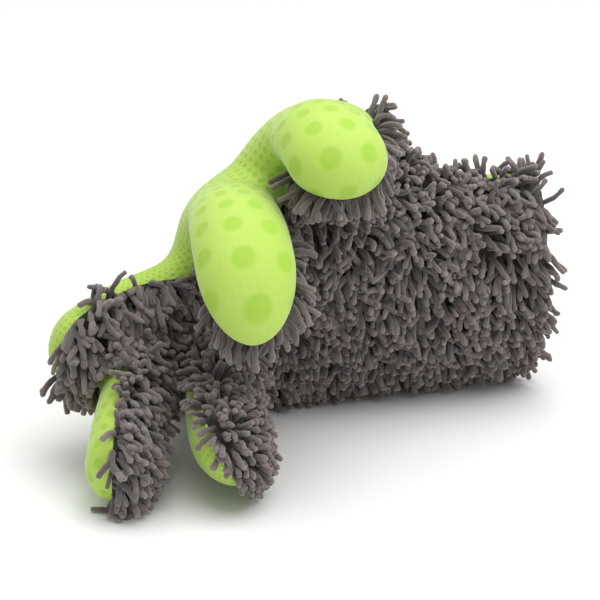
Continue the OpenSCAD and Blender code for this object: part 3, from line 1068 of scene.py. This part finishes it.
def place_group(tree, group, place, **values):
    """A group placed in a tree, with its place linked and its other inputs set."""
    node = tree.nodes.new("ShaderNodeGroup")
    node.node_tree = group
    tree.links.new(place, node.inputs["Place"])
    for title, value in values.items():
        node.inputs[title].default_value = value
    return node


def air_mesh_material():
    """Lime air mesh: holes and yarns on the flat measure, with slow patches of deeper green, and painted
    shade in the holes.
    """
    material, tree, shader, bump, where = start_material(
        "Lime air mesh", 0.75, 0.45, 0.35, (0.95, 1, 0.85))
    uv = tree.nodes.new("ShaderNodeUVMap")
    uv.uv_map = "flat"
    holes = place_group(tree, air_group, uv.outputs["UV"])
    patch = noise_node(tree, where.outputs["Object"], 30.0)
    yarn = blend_colours(tree, patch, (0.42, 0.62, 0.085), (0.50, 0.69, 0.145))
    # Painted shade: the holes are coloured a darker green for the shade inside them
    hole_shade = math_node(tree, "MULTIPLY", holes.outputs["Hole"], 0.55)
    colour = blend_colours(tree, hole_shade, yarn, (0.30, 0.54, 0.030))
    tree.links.new(colour, shader.inputs["Base Color"])
    tree.links.new(holes.outputs["Height"], bump.inputs["Height"])
    bump.inputs["Strength"].default_value = 0.55
    bump.inputs["Distance"].default_value = 0.0007
    return material


def chenille_material():
    """Grey chenille: each noodle has its own tone, painted shade darkening it towards its root, and a
    fuzzy face.
    """
    material, tree, shader, bump, where = start_material(
        "Grey chenille", 0.95, 0.55, 0.6, (0.85, 0.82, 0.8))
    fuzz = place_group(tree, fuzz_group, where.outputs["Object"], Fine=1400.0)
    tone, along = tree.nodes.new("ShaderNodeAttribute"), tree.nodes.new("ShaderNodeAttribute")
    tone.attribute_name, along.attribute_name = "tone", "along"
    mixed = math_node(tree, "ADD", math_node(tree, "MULTIPLY", tone.outputs["Fac"], 0.55),
                      math_node(tree, "MULTIPLY", fuzz.outputs["Patch"], 0.45))
    grey = blend_colours(tree, mixed, (0.105, 0.083, 0.077), (0.400, 0.318, 0.298))
    speck = math_node(tree, "MULTIPLY", fuzz.outputs["Height"], 0.5)
    flecked = blend_colours(tree, speck, grey, (0.05, 0.045, 0.042))
    # Painted shade: each noodle fades to near black towards its root, for the shade down between the
    # noodles
    tree.links.new(blend_colours(tree, along.outputs["Fac"], (0.035, 0.031, 0.029), flecked),
                   shader.inputs["Base Color"])
    tree.links.new(fuzz.outputs["Height"], bump.inputs["Height"])
    bump.inputs["Strength"].default_value = 0.9
    bump.inputs["Distance"].default_value = 0.0006
    return material


def woven_material(name, light, dark, pitch, rough, sheen, strength):
    """A plain woven or knitted cloth of one colour, with painted shade between its yarns and slow random
    patches of darker tone.
    """
    material, tree, shader, bump, where = start_material(name, rough, sheen, 0.4, (1, 1, 1))
    weave = place_group(tree, weave_group, where.outputs["Object"], Pitch=pitch)
    patch = noise_node(tree, where.outputs["Object"], 120.0)
    lift = math_node(tree, "ADD", patch, 0.45)
    # Painted shade: the colour darkens between the yarns, and slow random patches darken it further
    yarn_gap_shade = math_node(tree, "MULTIPLY", weave.outputs["Height"], lift)
    tree.links.new(blend_colours(tree, yarn_gap_shade, dark, light), shader.inputs["Base Color"])
    tree.links.new(weave.outputs["Height"], bump.inputs["Height"])
    bump.inputs["Strength"].default_value = strength
    bump.inputs["Distance"].default_value = 0.0003
    return material


# Each woven cloth: its name, its colour on the yarns and its painted shade between them, the
# yarns' pitch, its roughness, sheen and bump
WOVEN = {
    "backing": ("Grey backing cloth", (0.055, 0.050, 0.046), (0.02, 0.018, 0.017),
                0.0012, 0.95, 0.2, 0.5),
    "lining": ("Dark knit lining", (0.075, 0.075, 0.075), (0.02, 0.02, 0.02),
               0.0011, 0.9, 0.25, 0.6),
    "binding": ("Dark binding tape", (0.12, 0.11, 0.105), (0.045, 0.042, 0.040),
                0.0010, 0.7, 0.2, 0.6),
    "elastic": ("White elastic", (0.80, 0.80, 0.77), (0.5, 0.5, 0.48), 0.0013, 0.6, 0.1, 0.6),
    "label": ("Blank satin label", (0.86, 0.86, 0.84), (0.72, 0.72, 0.70), 0.0005, 0.45, 0.1, 0.3),
    "thread": ("Dark thread", (0.16, 0.15, 0.14), (0.06, 0.055, 0.05), 0.0006, 0.6, 0.2, 0.6),
}
finishes = {"air_mesh": air_mesh_material(), "chenille": chenille_material()}
finishes.update({slot: woven_material(*values) for slot, values in WOVEN.items()})
for name in ("hand", *FINGERS):
    backs[name].data.materials.append(finishes["air_mesh"])
    palms[name].data.materials.append(finishes["backing"])
    linings[name].data.materials.append(finishes["lining"])
for piece in noodle_pieces.values():
    piece.data.materials.append(finishes["chenille"])
for piece, finish in ((binding, "binding"), (elastic, "elastic"), (label, "label"),
                      (stitches, "thread")):
    piece.data.materials.append(finishes[finish])
print("materials:", len(finishes))

# %% [markdown]
# ## Floor, light and camera
# A pale floor runs far behind the mitt. A large soft key light hangs above, in front and to the
# right, so the shadow falls to the left. A weaker one above and behind makes the tops pale, and a
# white world fills the rest.

# %% Floor
floor = make_mesh("floor", np.array([[-4, -4, 0], [4, -4, 0], [4, 4, 0], [-4, 4, 0]], float),
                  np.array([[0, 1, 2, 3]]), smooth=False)
floor_finish = bpy.data.materials.new("Pale floor")
floor_finish.use_nodes = True
floor_shader = floor_finish.node_tree.nodes["Principled BSDF"]
floor_shader.inputs["Roughness"].default_value = 0.9
floor_shader.inputs["Specular IOR Level"].default_value = 0.1
floor_place = floor_finish.node_tree.nodes.new("ShaderNodeTexCoord")
floor_patch = noise_node(floor_finish.node_tree, floor_place.outputs["Object"], 2.0)
floor_finish.node_tree.links.new(
    blend_colours(floor_finish.node_tree, floor_patch, (0.90, 0.90, 0.90), (0.92, 0.92, 0.92)),
    floor_shader.inputs["Base Color"])
floor.data.materials.append(floor_finish)


# %% Lights
def soft_light(name, place, size, power, look_at=(0, 0, 0.06)):
    """A square area light at a place, turned towards the mitt."""
    light = bpy.data.objects.new(name, bpy.data.lights.new(name, "AREA"))
    light.data.size = size
    light.data.energy = power
    light.location = place
    light.rotation_euler = (Vector(place) - Vector(look_at)).to_track_quat("Z", "Y").to_euler()
    bpy.context.scene.collection.objects.link(light)


soft_light("key light", (0.45, -0.4, 1.4), 1.5, 19)
soft_light("top light", (-0.15, 0.5, 1.4), 1.2, 8)
world = bpy.data.worlds.new("white studio")
world.use_nodes = True
world.node_tree.nodes["Background"].inputs["Color"].default_value = (1, 1, 1, 1)
world.node_tree.nodes["Background"].inputs["Strength"].default_value = 0.53
bpy.context.scene.world = world
bpy.context.scene.view_settings.view_transform = "Standard"

# %% Camera
CAMERA_TURN, CAMERA_RISE, CAMERA_AWAY = math.radians(-15), math.radians(24), 1.15
CAMERA_AIM = 0.0513  # how far above the forearm's foot it looks
camera_back = Vector((math.sin(CAMERA_TURN) * math.cos(CAMERA_RISE),
                      -math.cos(CAMERA_TURN) * math.cos(CAMERA_RISE), math.sin(CAMERA_RISE)))
camera_up = Vector((-math.sin(CAMERA_TURN) * math.sin(CAMERA_RISE),
                    math.cos(CAMERA_TURN) * math.sin(CAMERA_RISE), math.cos(CAMERA_RISE)))
under_arm = Vector((FOREARM[0], FOREARM[1], 0))
camera = bpy.data.objects.new("camera", bpy.data.cameras.new("camera"))
camera.location = under_arm + camera_back * CAMERA_AWAY
look_back = camera.location - under_arm - camera_up * CAMERA_AIM
camera.rotation_euler = look_back.to_track_quat("Z", "Y").to_euler()
camera.data.lens = 134.5
bpy.context.scene.collection.objects.link(camera)
bpy.context.scene.camera = camera
print("camera at", [round(v, 3) for v in camera.location])
